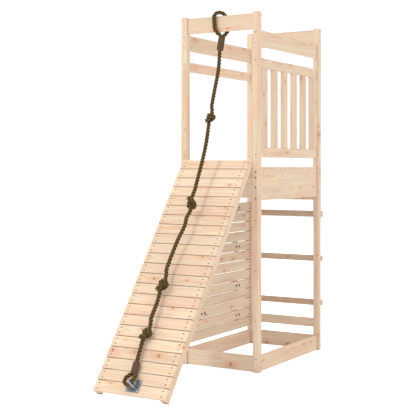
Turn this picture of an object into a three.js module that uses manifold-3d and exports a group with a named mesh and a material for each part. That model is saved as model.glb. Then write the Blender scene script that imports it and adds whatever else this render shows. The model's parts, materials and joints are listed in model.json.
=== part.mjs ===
// A children's play tower of pine: four posts, a raised deck, a slatted climbing ramp with a knotted
// rope, a side wall of slats with climbing stones, a ladder of rungs and a balustrade.
// Millimetres, +Z up. X runs across the tower, Y from the ramp's foot towards the ladder.
// Everything is laid out from the outer front left corner of the tower, and the whole group is
// moved at the end so that its origin is the middle of the space it takes up, on the ground.
import * as THREE from "three";
import { mergeVertices } from "three/addons/utils/BufferGeometryUtils.js";
import Module from "manifold-3d";

const wasm = await Module();
wasm.setup();

// Tower.
const TOWER_WIDTH = 525;
const TOWER_DEPTH = 865;
const TOWER_HEIGHT = 2080;
const POST = 38; // square section of a post
const BOARD = 15; // thickness of the boards between the posts
const PLANK = 13; // thickness of deck, ramp and wall planks
const PLANK_WIDTH = 60;
const WIDE_BOARD = 92;
const NARROW_BOARD = 57;
const PANEL = 179; // glued panels that carry the deck
const FIT = 0.3; // gap where two pieces of wood meet
const INSET = (POST - BOARD) / 2; // the boards are centred on the posts

// Heights of lower edges.
const BOTTOM_BOARD_Z = 3;
const LOW_RAIL_Z = 147;
const PANEL_Z = 992.7;
const FRONT_PANEL_Z = 1006.7;
const BACK_LOWER_BOARD_Z = 973;
const BACK_UPPER_BOARD_Z = 1128;
const BALUSTRADE_BOTTOM_Z = 1241;
const BALUSTRADE_TOP_Z = 1759;
const SIDE_TOP_Z = 1885;
const BEAM_TOP_Z = 1981;

// Deck, balustrade and ladder.
const DECK_TOP = 1185;
const DECK_PLANKS = 12;
const DECK_GAP = 5;
const BALUSTRADE_SLATS = 6;
const SLAT_WIDTH = 69;
const SLAT_PITCH = 131.8;
const RUNG_HEIGHT = 37;
const RUNG_DEPTH = 30;
const RUNG_CENTRES = [302, 590, 879];

// Ramp, in its own frame: Y up the slope, Z out of the boards, origin at its foot on the ground.
const RAMP_ANGLE = THREE.MathUtils.degToRad(53.7);
const RAMP_FOOT_Y = -880;
const RAMP_PLANKS = 23;
const RAMP_PITCH = 64.7;
const STRINGER_WIDTH = 36;
const STRINGER_DEPTH = 35;
const STRINGER_LENGTH = 1498;
const RAMP_SIDE_GAP = 0.5;
const RAMP_TOP_FACE = STRINGER_DEPTH + FIT + PLANK;

// Climbing wall.
const WALL_SLATS = 13;
const WALL_PITCH = 64;
const WALL_BOTTOM = 120;
const BATTEN_WIDTH = 34;
const BATTEN_DEPTH = 12;
const STONE_RADIUS = 45;
const STONE_DEPTH = 42;
const STONE_ROWS = { back: [0, 4, 8, 11], front: [2, 6, 10] }; // slats counted from the top
const STONE_FROM_POST = 175;

// Webs that hold a run of planks together, hidden under them.
const WEB_WIDTH = 12;
const WEB_DEPTH = 4;
const WEB_CLEARANCE = 20; // from the wood the planks are screwed to

// Rope.
const ROPE_RADIUS = 10;
const KNOT_RADIUS = 27;
const SLEEVE = { width: 40, depth: 27 };
const ROPE_END_GAP = 4; // leaves the rope free to turn against its sleeves

// Coarseness of round pieces.
const ARC_STEPS = 5; // half the sides of a tube's section
const BAR_SIDES = 12;

// Anchor on the lowest planks, in the ramp's frame.
const ANCHOR = { x: 278, y: 52, width: 80, height: 68, thickness: 3 };
const BAIL_ROD = 4;
const BAIL_HEIGHT = 60;
const EYE_LENGTH = 90;
const EYE_LIFT = THREE.MathUtils.degToRad(27); // the eye rises from the boards towards its far end

const pine = (tone) => new THREE.MeshStandardMaterial({ color: tone, roughness: 0.7, metalness: 0 });
const PALE_PINE = 0xf2dcc0;
const WARM_PINE = 0xe8ccab;
const steel = () => new THREE.MeshStandardMaterial({ color: 0xa9adb0, roughness: 0.35, metalness: 1 });
const cord = () => new THREE.MeshStandardMaterial({ color: 0x5a4326, roughness: 0.9, metalness: 0 });
const plastic = (tone) => new THREE.MeshStandardMaterial({ color: tone, roughness: 0.5, metalness: 0 });

const tower = new THREE.Group();

// ---- Solid helpers ----

const v = (x, y, z) => new THREE.Vector3(x, y, z);

// A box that reaches between two opposite corners.
function boxBetween([x0, x1], [y0, y1], [z0, z1]) {
  const geometry = new THREE.BoxGeometry(x1 - x0, y1 - y0, z1 - z0);
  return geometry.translate((x0 + x1) / 2, (y0 + y1) / 2, (z0 + z1) / 2);
}

function toSolid(geometry) {
  const bare = geometry.clone();
  bare.deleteAttribute("normal");
  bare.deleteAttribute("uv");
  const merged = mergeVertices(bare, 1e-4);
  const mesh = new wasm.Mesh({
    numProp: 3,
    vertProperties: merged.attributes.position.array,
    triVerts: new Uint32Array(merged.index.array),
  });
  return new wasm.Manifold(mesh);
}

function toGeometry(solid) {
  const mesh = solid.getMesh();
  const geometry = new THREE.BufferGeometry();
  geometry.setAttribute("position", new THREE.BufferAttribute(mesh.vertProperties, 3));
  geometry.setIndex(new THREE.BufferAttribute(mesh.triVerts, 1));
  return geometry;
}

function joined(geometries) {
  const [first, ...others] = geometries.map(toSolid);
  return toGeometry(others.reduce((sum, solid) => sum.add(solid), first));
}

function cut(geometry, tools) {
  const body = tools.map(toSolid).reduce((rest, tool) => rest.subtract(tool), toSolid(geometry));
  return toGeometry(body);
}

function addMesh(parent, name, geometry, material) {
  const mesh = new THREE.Mesh(geometry, material);
  mesh.name = name;
  parent.add(mesh);
  return mesh;
}

// A round bar along Y from y0 to y1.
function barAlongY(radius, x, y0, y1, z) {
  const geometry = new THREE.CylinderGeometry(radius, radius, y1 - y0, BAR_SIDES);
  return geometry.translate(x, (y0 + y1) / 2, z);
}

// A closed tube of round section along a curve.
function tubeAlong(curve, radius, steps) {
  const section = new THREE.Shape();
  section.absarc(0, 0, radius, 0, 2 * Math.PI);
  const options = { steps, curveSegments: ARC_STEPS, extrudePath: curve, bevelEnabled: false };
  return new THREE.ExtrudeGeometry(section, options);
}

// ---- Posts ----

const RIGHT_POST_X = TOWER_WIDTH - POST;
const BACK_POST_Y = TOWER_DEPTH - POST;
const BOLT_RADIUS = 3;
const BOLT_HOLE = 3.4;
const BOLT_HEAD = { radius: 7, height: 3.5 };
const RUNG_BACK = TOWER_DEPTH + FIT + RUNG_DEPTH;

// Bolt holes from front to back through a back post and the rungs behind it.
function rungHoles(x) {
  return RUNG_CENTRES.map((z) => barAlongY(BOLT_HOLE, x, BACK_POST_Y - 5, RUNG_BACK + 5, z));
}

function addPosts() {
  for (const [side, x] of [["left", 0], ["right", RIGHT_POST_X]]) {
    const front = boxBetween([x, x + POST], [0, POST], [0, TOWER_HEIGHT]);
    const back = boxBetween([x, x + POST], [BACK_POST_Y, TOWER_DEPTH], [0, TOWER_HEIGHT]);
    addMesh(tower, `post_front_${side}`, front, pine(WARM_PINE));
    addMesh(tower, `post_back_${side}`, cut(back, rungHoles(x + POST / 2)), pine(WARM_PINE));
  }
}

// ---- Boards between the posts ----

// A board across the tower, between two posts of the front or back.
function crossBoard(name, postY, bottom, height) {
  const xs = [POST + FIT, RIGHT_POST_X - FIT];
  const ys = [postY + INSET, postY + INSET + BOARD];
  addMesh(tower, name, boxBetween(xs, ys, [bottom, bottom + height]), pine(PALE_PINE));
}

// A board along one side, between a front and a back post.
function sideBoard(name, postX, bottom, height) {
  const xs = [postX + INSET, postX + INSET + BOARD];
  const ys = [POST + FIT, BACK_POST_Y - FIT];
  addMesh(tower, name, boxBetween(xs, ys, [bottom, bottom + height]), pine(WARM_PINE));
}

function addBoards() {
  crossBoard("beam_front_top", 0, BEAM_TOP_Z, WIDE_BOARD);
  crossBoard("beam_back_top", BACK_POST_Y, BEAM_TOP_Z, WIDE_BOARD);
  crossBoard("panel_front", 0, FRONT_PANEL_Z, PANEL);
  crossBoard("board_back_upper", BACK_POST_Y, BACK_UPPER_BOARD_Z, NARROW_BOARD);
  crossBoard("board_back_lower", BACK_POST_Y, BACK_LOWER_BOARD_Z, NARROW_BOARD);
  crossBoard("rail_back_low", BACK_POST_Y, LOW_RAIL_Z, NARROW_BOARD);
  crossBoard("board_front_bottom", 0, BOTTOM_BOARD_Z, WIDE_BOARD);
  crossBoard("board_back_bottom", BACK_POST_Y, BOTTOM_BOARD_Z, WIDE_BOARD);
  for (const [side, x] of [["left", 0], ["right", RIGHT_POST_X]]) {
    sideBoard(`board_${side}_top`, x, SIDE_TOP_Z, WIDE_BOARD);
    sideBoard(`panel_${side}`, x, PANEL_Z, PANEL);
    sideBoard(`board_${side}_bottom`, x, BOTTOM_BOARD_Z, WIDE_BOARD);
  }
  sideBoard("rail_left_guard", 0, BALUSTRADE_TOP_Z, NARROW_BOARD);
}

// ---- Balustrade on the right side ----

function addBalustrade() {
  sideBoard("balustrade_rail_top", RIGHT_POST_X, BALUSTRADE_TOP_Z, NARROW_BOARD);
  sideBoard("balustrade_rail_bottom", RIGHT_POST_X, BALUSTRADE_BOTTOM_Z, NARROW_BOARD);
  const middle = RIGHT_POST_X + POST / 2;
  const xs = [middle - PLANK / 2, middle + PLANK / 2];
  const zs = [BALUSTRADE_BOTTOM_Z + NARROW_BOARD + FIT, BALUSTRADE_TOP_Z - FIT];
  const span = SLAT_WIDTH + (BALUSTRADE_SLATS - 1) * SLAT_PITCH;
  const start = (TOWER_DEPTH - span) / 2;
  for (let i = 0; i < BALUSTRADE_SLATS; i++) {
    const y = start + i * SLAT_PITCH;
    addMesh(tower, `balustrade_slat_${i + 1}`, boxBetween(xs, [y, y + SLAT_WIDTH], zs), pine(WARM_PINE));
  }
}

// ---- Deck ----

function addDeck() {
  const run = DECK_PLANKS * (PLANK_WIDTH + DECK_GAP) - DECK_GAP;
  const start = (TOWER_DEPTH - run) / 2;
  const under = PANEL_Z + PANEL + FIT;
  const planks = [];
  for (let i = 0; i < DECK_PLANKS; i++) {
    const y = start + i * (PLANK_WIDTH + DECK_GAP);
    planks.push(boxBetween([INSET, TOWER_WIDTH - INSET], [y, y + PLANK_WIDTH], [under, DECK_TOP]));
  }
  const inner = INSET + BOARD + WEB_CLEARANCE;
  const ys = [start + 1, start + run - 1];
  for (const x of [inner, TOWER_WIDTH - inner - WEB_WIDTH]) {
    planks.push(boxBetween([x, x + WEB_WIDTH], ys, [under - WEB_DEPTH, under + 1]));
  }
  addMesh(tower, "deck_planks", joined(planks), pine(PALE_PINE));
}

// ---- Ladder ----

function addLadder() {
  const y0 = TOWER_DEPTH + FIT;
  RUNG_CENTRES.forEach((z, i) => {
    const zs = [z - RUNG_HEIGHT / 2, z + RUNG_HEIGHT / 2];
    const blank = boxBetween([0, TOWER_WIDTH], [y0, RUNG_BACK], zs);
    const ends = { left: POST / 2, right: TOWER_WIDTH - POST / 2 };
    const holes = Object.values(ends).flatMap(rungHoles);
    addMesh(tower, `ladder_rung_${i + 1}`, cut(blank, holes), pine(PALE_PINE));
    for (const [side, x] of Object.entries(ends)) {
      const headBack = RUNG_BACK + FIT + BOLT_HEAD.height;
      const shank = barAlongY(BOLT_RADIUS, x, BACK_POST_Y + 4, headBack - 1, z);
      const head = barAlongY(BOLT_HEAD.radius, x, RUNG_BACK + FIT, headBack, z);
      addMesh(tower, `rung_bolt_${i + 1}_${side}`, joined([shank, head]), steel());
    }
  });
}

// ---- Ramp ----

const ramp = new THREE.Group();
ramp.position.set(0, RAMP_FOOT_Y, 0);
ramp.rotation.x = RAMP_ANGLE;
tower.add(ramp);

const RAMP_LEFT = POST + RAMP_SIDE_GAP;
const RAMP_RIGHT = RIGHT_POST_X - RAMP_SIDE_GAP;

function stringer(x) {
  return boxBetween([x, x + STRINGER_WIDTH], [0, STRINGER_LENGTH], [0, STRINGER_DEPTH]);
}

function addRamp() {
  addMesh(ramp, "ramp_stringer_left", stringer(RAMP_LEFT), pine(WARM_PINE));
  addMesh(ramp, "ramp_stringer_right", stringer(RAMP_RIGHT - STRINGER_WIDTH), pine(WARM_PINE));
  const under = STRINGER_DEPTH + FIT;
  const planks = [];
  for (let i = 0; i < RAMP_PLANKS; i++) {
    const y = i * RAMP_PITCH;
    planks.push(boxBetween([RAMP_LEFT, RAMP_RIGHT], [y, y + PLANK_WIDTH], [under, RAMP_TOP_FACE]));
  }
  const end = (RAMP_PLANKS - 1) * RAMP_PITCH + PLANK_WIDTH - 1;
  const inner = STRINGER_WIDTH + WEB_CLEARANCE;
  for (const x of [RAMP_LEFT + inner, RAMP_RIGHT - inner - WEB_WIDTH]) {
    planks.push(boxBetween([x, x + WEB_WIDTH], [1, end], [under - WEB_DEPTH, under + 1]));
  }
  addMesh(ramp, "ramp_planks", joined(planks), pine(PALE_PINE));
}

// ---- Climbing wall on the left side ----

const WALL_INNER = 25.5;
const WALL_OUTER = WALL_INNER - PLANK;

function addWall() {
  const height = (WALL_SLATS - 1) * WALL_PITCH + PLANK_WIDTH;
  const ys = [POST + FIT, BACK_POST_Y - FIT];
  const slats = [];
  for (let i = 0; i < WALL_SLATS; i++) {
    const z = WALL_BOTTOM + i * WALL_PITCH;
    slats.push(boxBetween([WALL_OUTER, WALL_INNER], ys, [z, z + PLANK_WIDTH]));
  }
  const inner = BATTEN_WIDTH + WEB_CLEARANCE;
  for (const y of [ys[0] + inner, ys[1] - inner - WEB_WIDTH]) {
    const zs = [WALL_BOTTOM + 1, WALL_BOTTOM + height - 1];
    slats.push(boxBetween([WALL_OUTER - WEB_DEPTH, WALL_OUTER + 1], [y, y + WEB_WIDTH], zs));
  }
  addMesh(tower, "wall_slats", joined(slats), pine(PALE_PINE));
  const battenX = [WALL_OUTER - FIT - BATTEN_DEPTH, WALL_OUTER - FIT];
  const battenZ = [WALL_BOTTOM, WALL_BOTTOM + height];
  const front = boxBetween(battenX, [ys[0], ys[0] + BATTEN_WIDTH], battenZ);
  const back = boxBetween(battenX, [ys[1] - BATTEN_WIDTH, ys[1]], battenZ);
  addMesh(tower, "wall_batten_front", front, pine(WARM_PINE));
  addMesh(tower, "wall_batten_back", back, pine(WARM_PINE));
}

// A climbing stone: a flat back, a swollen rim and a shallow finger hollow in the face.
function stoneGeometry() {
  const profile = new THREE.SplineCurve([
    new THREE.Vector2(STONE_RADIUS * 0.92, 0),
    new THREE.Vector2(STONE_RADIUS, STONE_DEPTH * 0.3),
    new THREE.Vector2(STONE_RADIUS * 0.93, STONE_DEPTH * 0.75),
    new THREE.Vector2(STONE_RADIUS * 0.7, STONE_DEPTH),
    new THREE.Vector2(STONE_RADIUS * 0.35, STONE_DEPTH * 0.86),
    new THREE.Vector2(0, STONE_DEPTH * 0.8),
  ]).getPoints(6);
  return new THREE.LatheGeometry([new THREE.Vector2(0, 0), ...profile], 14);
}

function addStones() {
  const tones = [0xb5432e, 0x2f6f9f, 0xd9a520, 0x3f8a4a];
  const places = [
    ...STONE_ROWS.back.map((row) => [BACK_POST_Y - STONE_FROM_POST, row]),
    ...STONE_ROWS.front.map((row) => [POST + STONE_FROM_POST, row]),
  ];
  places.forEach(([y, row], i) => {
    const z = WALL_BOTTOM + (WALL_SLATS - 1 - row) * WALL_PITCH + PLANK_WIDTH / 2;
    const stone = addMesh(tower, `climbing_stone_${i + 1}`, stoneGeometry(), plastic(tones[i % 4]));
    stone.position.set(WALL_OUTER - FIT, y, z);
    stone.rotation.z = Math.PI / 2;
  });
}

// ---- Rope ----

const ROPE_X = 262;
// A point of the rope over the ramp: its height, its distance out of the boards and its side step.
function overRamp(height, out, side) {
  const y = RAMP_FOOT_Y + (height - (RAMP_TOP_FACE + out) / Math.cos(RAMP_ANGLE)) / Math.tan(RAMP_ANGLE);
  return v(ROPE_X + side, y, height);
}

const LOOP_ACROSS = v(0.87, 0.49, 0).normalize(); // the way the two strands of the beam loop part
const EYE_RADIUS = 9.4;
const STRAND = 9.8; // half the distance between the strands where they meet a sleeve
const SLEEVE_TOP = v(271, 20, 1949);
const ROPE_TOP = v(261, 13, 1870);
const EYE_TOP = overRamp(128, 17, 1);
const ROPE_END = overRamp(190, 24, -2);

const KNOTS = [
  { at: v(262, -106, 1468), size: 0.95 },
  { at: overRamp(982, 84, 16), size: 1.05 },
  { at: overRamp(553, 50, -3), size: 1.05 },
  { at: overRamp(323, 31, -2), size: 0.95 },
];

function ropeCurve() {
  return new THREE.CatmullRomCurve3([
    ROPE_TOP,
    v(262, -4, 1760),
    v(262, -50, 1630),
    KNOTS[0].at,
    v(262, -144, 1325),
    overRamp(1206, 115, 2),
    overRamp(1087, 98, 6),
    KNOTS[1].at,
    overRamp(940, 81, 4),
    overRamp(866, 74, 14),
    overRamp(788, 68, 1),
    overRamp(656, 58, -9),
    KNOTS[2].at,
    overRamp(464, 40, -2),
    KNOTS[3].at,
    overRamp(284, 30, -8),
    ROPE_END,
  ]);
}

// An oval sleeve from one point to another, its wide side along the direction given.
function sleeveGeometry(from, to, across) {
  const section = new THREE.Shape();
  section.absellipse(0, 0, SLEEVE.width / 2, SLEEVE.depth / 2, 0, 2 * Math.PI);
  const along = to.clone().sub(from);
  const options = { depth: along.length(), curveSegments: ARC_STEPS, bevelEnabled: false };
  const axis = along.normalize();
  const wide = across.clone().addScaledVector(axis, -across.dot(axis)).normalize();
  const deep = axis.clone().cross(wide);
  const turn = new THREE.Matrix4().makeBasis(wide, deep, axis).setPosition(from);
  return new THREE.ExtrudeGeometry(section, options).applyMatrix4(turn);
}

function addRope() {
  const beyond = (a, b) => a.clone().add(b.clone().sub(a).setLength(ROPE_END_GAP));
  const pieces = [tubeAlong(ropeCurve(), ROPE_RADIUS, 90)];
  for (const knot of KNOTS) {
    const ball = new THREE.SphereGeometry(KNOT_RADIUS * knot.size, 10, 6);
    pieces.push(ball.translate(knot.at.x, knot.at.y, knot.at.z));
  }
  addMesh(tower, "climbing_rope", joined(pieces), cord());
  const upper = sleeveGeometry(beyond(ROPE_TOP, SLEEVE_TOP), SLEEVE_TOP, LOOP_ACROSS);
  addMesh(tower, "rope_sleeve_top", upper, cord());
  const lower = sleeveGeometry(beyond(ROPE_END, EYE_TOP), EYE_TOP, v(1, 0, 0));
  addMesh(tower, "rope_sleeve_bottom", lower, cord());
}

// The eye that hangs over the front beam: up its face, across its top and down its back.
function addBeamLoop() {
  const axis = SLEEVE_TOP.clone().sub(ROPE_TOP).normalize();
  const across = LOOP_ACROSS.clone().addScaledVector(axis, -LOOP_ACROSS.dot(axis)).normalize();
  const foot = (side, rise) => SLEEVE_TOP.clone().addScaledVector(across, side).addScaledVector(axis, rise);
  const loop = new THREE.CatmullRomCurve3([
    foot(-STRAND, 1.5),
    foot(-STRAND - 0.5, 9),
    v(247, 0, 1977),
    v(236, -3, 1998),
    v(231, -2, 2040),
    v(232, -3, 2075),
    v(246, 11, 2093),
    v(266, 30, 2093),
    v(284, 43, 2074),
    v(300, 42, 2030),
    v(301, 40, 1992),
    v(291, 33, 1969),
    foot(STRAND + 0.5, 9),
    foot(STRAND, 1.5),
  ]);
  addMesh(tower, "beam_loop", tubeAlong(loop, EYE_RADIUS, 40), cord());
}

// The eye at the rope's lower end, around one arm of the bail and through the bail's opening.
function addLowerEye() {
  const down = v(0, -Math.cos(RAMP_ANGLE), -Math.sin(RAMP_ANGLE));
  const out = v(0, -Math.sin(RAMP_ANGLE), Math.cos(RAMP_ANGLE));
  const along = down.multiplyScalar(Math.cos(EYE_LIFT)).addScaledVector(out, Math.sin(EYE_LIFT));
  const at = (side, share) => EYE_TOP.clone().add(v(side, 0, 0)).addScaledVector(along, share * EYE_LENGTH);
  const eye = new THREE.CatmullRomCurve3([
    at(-STRAND, 0.08),
    at(-STRAND - 2, 0.16),
    at(-35, 0.36),
    at(-42, 0.6),
    at(-36, 0.86),
    at(-18, 1),
    at(0, 0.86),
    at(7, 0.6),
    at(10, 0.34),
    at(STRAND + 0.5, 0.16),
    at(STRAND, 0.08),
  ]);
  addMesh(tower, "rope_eye_bottom", tubeAlong(eye, EYE_RADIUS, 30), cord());
}

// ---- Anchor, in the ramp's frame ----

function addAnchor() {
  const { x, y, width, height, thickness } = ANCHOR;
  const low = RAMP_TOP_FACE + FIT;
  const high = low + thickness;
  const plate = boxBetween([x - width / 2, x + width / 2], [y - height / 2, y + height / 2], [low, high]);
  addMesh(ramp, "anchor_plate", plate, steel());
  const bail = new THREE.CatmullRomCurve3([
    v(291, y - 6, high + FIT),
    v(291, y - 6, high + 8),
    v(289, y + 2, high + BAIL_HEIGHT * 0.6),
    v(284, y + 7, high + BAIL_HEIGHT - 4),
    v(271, y + 8, high + BAIL_HEIGHT),
    v(258, y + 7, high + BAIL_HEIGHT - 4),
    v(252, y + 2, high + BAIL_HEIGHT * 0.6),
    v(249, y - 6, high + 8),
    v(249, y - 6, high + FIT),
  ]);
  addMesh(ramp, "anchor_bail", tubeAlong(bail, BAIL_ROD, 20), steel());
}

export default tower;

addPosts();
addBoards();
addBalustrade();
addDeck();
addLadder();
addRamp();
addWall();
addStones();
addRope();
addBeamLoop();
addLowerEye();
addAnchor();

const space = new THREE.Box3().setFromObject(tower);
const middle = space.getCenter(new THREE.Vector3());
tower.position.set(-middle.x, -middle.y, -space.min.z);
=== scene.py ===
# Looks for a wooden children's play tower: pine posts, boards and planks, a knotted climbing rope,
# a steel anchor and climbing stones. Metres, +Z up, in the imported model's own frame.
import json
import math
import random
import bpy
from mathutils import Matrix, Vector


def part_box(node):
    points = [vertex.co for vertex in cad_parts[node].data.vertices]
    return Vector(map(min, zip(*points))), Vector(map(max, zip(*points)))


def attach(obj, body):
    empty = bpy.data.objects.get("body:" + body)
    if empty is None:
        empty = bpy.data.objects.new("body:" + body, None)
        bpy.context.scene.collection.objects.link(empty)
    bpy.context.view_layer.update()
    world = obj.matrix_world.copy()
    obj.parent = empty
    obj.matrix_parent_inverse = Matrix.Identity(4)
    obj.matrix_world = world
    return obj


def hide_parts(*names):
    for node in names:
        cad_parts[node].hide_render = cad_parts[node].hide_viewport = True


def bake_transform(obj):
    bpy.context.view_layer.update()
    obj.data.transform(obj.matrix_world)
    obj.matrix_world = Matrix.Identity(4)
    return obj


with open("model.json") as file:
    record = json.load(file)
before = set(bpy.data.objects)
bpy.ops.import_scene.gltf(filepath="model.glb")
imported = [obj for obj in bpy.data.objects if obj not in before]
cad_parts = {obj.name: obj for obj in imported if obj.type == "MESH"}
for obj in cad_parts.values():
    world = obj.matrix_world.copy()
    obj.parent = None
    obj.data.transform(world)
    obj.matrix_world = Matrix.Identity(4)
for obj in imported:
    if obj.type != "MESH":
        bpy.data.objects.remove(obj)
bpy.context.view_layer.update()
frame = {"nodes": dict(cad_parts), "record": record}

from types import SimpleNamespace

import bmesh
import bpy
import numpy as np
from mathutils import Matrix, Vector, noise

nodes = frame["nodes"]
chance = random.Random(11)

# ---- Sizes ----

EDGE = 0.0016            # rounding of sawn edges
PLANK = 0.013
PLANK_WIDTH = 0.060
RAMP_PLANKS = 23
RAMP_PITCH = 0.0647
RAMP_ANGLE = math.radians(53.7)
STRINGER_DEPTH = 0.035
DECK_PLANKS = 12
DECK_PITCH = 0.065
WALL_SLATS = 13
WALL_PITCH = 0.064
FIT = 0.0003
STRIP = 0.048            # strips that wide panels are glued from
WIDEST_SAWN = 0.11

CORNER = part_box("post_front_left")[0]       # outer front left corner of the tower
RAMP_FOOT_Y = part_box("ramp_stringer_left")[0].y + STRINGER_DEPTH * math.sin(RAMP_ANGLE)
RAMP = Matrix.Translation((CORNER.x, RAMP_FOOT_Y, 0)) @ Matrix.Rotation(RAMP_ANGLE, 4, "X")
RAMP_FACE = STRINGER_DEPTH + FIT + PLANK    # top of the ramp's planks, in the ramp's frame
UP_SLOPE = RAMP.to_3x3() @ Vector((0, 1, 0))
OUT_OF_RAMP = RAMP.to_3x3() @ Vector((0, 0, 1))

X = Vector((1, 0, 0))
Y = Vector((0, 1, 0))
Z = Vector((0, 0, 1))

# ---- Node trees ----


def make(tree, kind, inputs=None, **settings):
    """Adds a node; inputs are values or the sockets that feed them."""
    node = tree.nodes.new(kind)
    for key, value in settings.items():
        setattr(node, key, value)
    for key, value in (inputs or {}).items():
        if isinstance(value, bpy.types.NodeSocket):
            tree.links.new(value, node.inputs[key])
        else:
            node.inputs[key].default_value = value
    return node


def maths(tree, operation, a, b=0.0):
    return make(tree, "ShaderNodeMath", {0: a, 1: b}, operation=operation).outputs[0]


def times(tree, a, b):
    return maths(tree, "MULTIPLY", a, b)


def plus(tree, a, b):
    return maths(tree, "ADD", a, b)


def minus(tree, a, b):
    return maths(tree, "SUBTRACT", a, b)


def smooth_between(tree, value, low, high):
    """0 below low, 1 above high, smooth between."""
    inputs = {"Value": value, "From Min": low, "From Max": high}
    return make(tree, "ShaderNodeMapRange", inputs, interpolation_type="SMOOTHSTEP").outputs["Result"]


def blended(tree, share, a, b, mode="MIX"):
    inputs = {"Factor": share, 6: a, 7: b}
    return make(tree, "ShaderNodeMix", inputs, data_type="RGBA", blend_type=mode).outputs[2]


def layered(tree, base, layers):
    """Lays colours over a base, one after another: each is (where, strength, colour)."""
    for where, strength, colour in layers:
        base = blended(tree, times(tree, where, strength), base, colour)
    return base


def noise_at(tree, place, scale, detail=2.0, rough=0.5):
    inputs = {"Vector": place, "Scale": scale, "Detail": detail, "Roughness": rough}
    return make(tree, "ShaderNodeTexNoise", inputs).outputs["Fac"]


def stretched(tree, place, scale):
    return make(tree, "ShaderNodeVectorMath", {0: place, 1: scale}, operation="MULTIPLY").outputs[0]


def object_place(tree):
    return make(tree, "ShaderNodeTexCoord").outputs["Object"]


def new_material(name, base, roughness, metallic=0.0):
    material = bpy.data.materials.new(name)
    material.use_nodes = True
    tree = material.node_tree
    shader = tree.nodes["Principled BSDF"]
    shader.inputs["Base Color"].default_value = (*base, 1)
    shader.inputs["Roughness"].default_value = roughness
    shader.inputs["Metallic"].default_value = metallic
    material.diffuse_color = (*base, 1)
    return material, tree, shader


def add_bump(tree, shader, height, strength, distance):
    inputs = {"Height": height, "Strength": strength, "Distance": distance}
    tree.links.new(make(tree, "ShaderNodeBump", inputs).outputs[0], shader.inputs["Normal"])


# ---- Pine ----

PALE = (0.88, 0.70, 0.51, 1)
CREAM = (0.93, 0.78, 0.58, 1)
PINK = (0.87, 0.57, 0.42, 1)
LATE = (0.77, 0.48, 0.30, 1)
YELLOW = (0.95, 0.76, 0.47, 1)
KNOT = (0.36, 0.15, 0.08, 1)
KNOT_HALO = (0.84, 0.42, 0.25, 1)
KNOT_HEART = ((0.46, 0.20, 0.11, 1), (0.66, 0.34, 0.19, 1))
BOUNCE = (0.90, 0.79, 0.74, 1)    # what wood sends on to other wood: paler than it looks
# painted shade: the colour laid into the wood's crevices, where little light reaches
PAINTED_CREVICE_SHADE = (0.33, 0.18, 0.12, 1)
RING = 0.0040                # thickness of a year's growth
KNOT_REACH = 0.055           # distance from the pith at which knots are drawn at their own size
NO_STRIPS = 10.0


def own_value(tree, name, output="Vector"):
    return make(tree, "ShaderNodeAttribute", attribute_type="OBJECT", attribute_name=name).outputs[output]


def apart(tree, vector):
    return make(tree, "ShaderNodeSeparateXYZ", {0: vector}).outputs


def joined(tree, *parts):
    return make(tree, "ShaderNodeCombineXYZ", dict(enumerate(parts))).outputs[0]


def added(tree, a, b, operation="ADD"):
    return make(tree, "ShaderNodeVectorMath", {0: a, 1: b}, operation=operation).outputs[0]


def length_of(tree, vector):
    return make(tree, "ShaderNodeVectorMath", {0: vector}, operation="LENGTH").outputs["Value"]


def own_wood(tree):
    """A point in the wood a piece was sawn from: X and Y from the pith, Z along it. A glued panel is
    made of strips, each from another place. Also gives a strip's own number and its glue line."""
    inputs = {
        "Vector": object_place(tree),
        "Rotation": own_value(tree, "grain_turn"),
        "Location": own_value(tree, "grain_shift"),
    }
    place = make(tree, "ShaderNodeMapping", inputs, vector_type="POINT").outputs[0]
    part = apart(tree, place)
    pith = own_value(tree, "grain_pith")
    width = own_value(tree, "grain_strip", "Fac")
    across = maths(tree, "DIVIDE", part[0], width)
    strip = maths(tree, "FLOOR", plus(tree, across, 0.5))
    inside = times(tree, minus(tree, across, strip), width)
    seed = joined(tree, strip, apart(tree, pith)[2])
    luck = make(tree, "ShaderNodeTexWhiteNoise", {"Vector": seed}, noise_dimensions="2D").outputs
    place = joined(tree, inside, part[1], part[2])
    jump = stretched(tree, added(tree, luck["Color"], (0.5, 0.5, 0.5), "SUBTRACT"), (0.04, 0.02, 30))
    edge = minus(tree, times(tree, width, 0.5), maths(tree, "ABSOLUTE", inside))
    glue = smooth_between(tree, edge, 0.0007, 0.0002)
    return added(tree, added(tree, place, pith), jump), luck["Value"], glue


def knots_in(tree, place, angle, scale, share, smallest, spread):
    """Knots that grow outwards from the pith: their distance in knot radii, and their halo, core and rim."""
    part = apart(tree, place)
    spot = joined(tree, times(tree, angle, KNOT_REACH), part[2])
    inputs = {"Vector": spot, "Scale": scale}
    cells = make(tree, "ShaderNodeTexVoronoi", inputs, voronoi_dimensions="2D").outputs
    pick = make(tree, "ShaderNodeSeparateColor", {0: cells["Color"]}).outputs
    chosen = maths(tree, "LESS_THAN", pick[0], share)
    size = plus(tree, times(tree, pick[1], spread), smallest)
    away = added(tree, spot, cells["Position"], "SUBTRACT")
    ratio = maths(tree, "DIVIDE", length_of(tree, away), size)
    long_ratio = maths(tree, "DIVIDE", length_of(tree, stretched(tree, away, (1, 0.30, 0))), size)
    halo = times(tree, smooth_between(tree, long_ratio, 3.0, 0.4), chosen)
    dark = times(tree, plus(tree, times(tree, pick[2], 0.75), 0.25), chosen)
    core = times(tree, smooth_between(tree, ratio, 1.05, 0.75), dark)
    rim = times(tree, smooth_between(tree, ratio, 1.35, 1.0), dark)
    return ratio, halo, core, rim


def year_rings(tree, grown):
    """Late wood of each year, 0 to 1, and slow bands of darker years."""
    line = joined(tree, grown)
    uneven = noise_at(tree, line, 90.0, 1.0)
    rings = plus(tree, maths(tree, "DIVIDE", grown, RING), times(tree, uneven, 2.2))
    phase = maths(tree, "FRACT", rings)
    late = times(tree, smooth_between(tree, phase, 0.30, 0.88), smooth_between(tree, phase, 1.0, 0.93))
    bands = noise_at(tree, line, 42.0, 2.0)
    return times(tree, late, smooth_between(tree, bands, 0.28, 0.66)), bands


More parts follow.
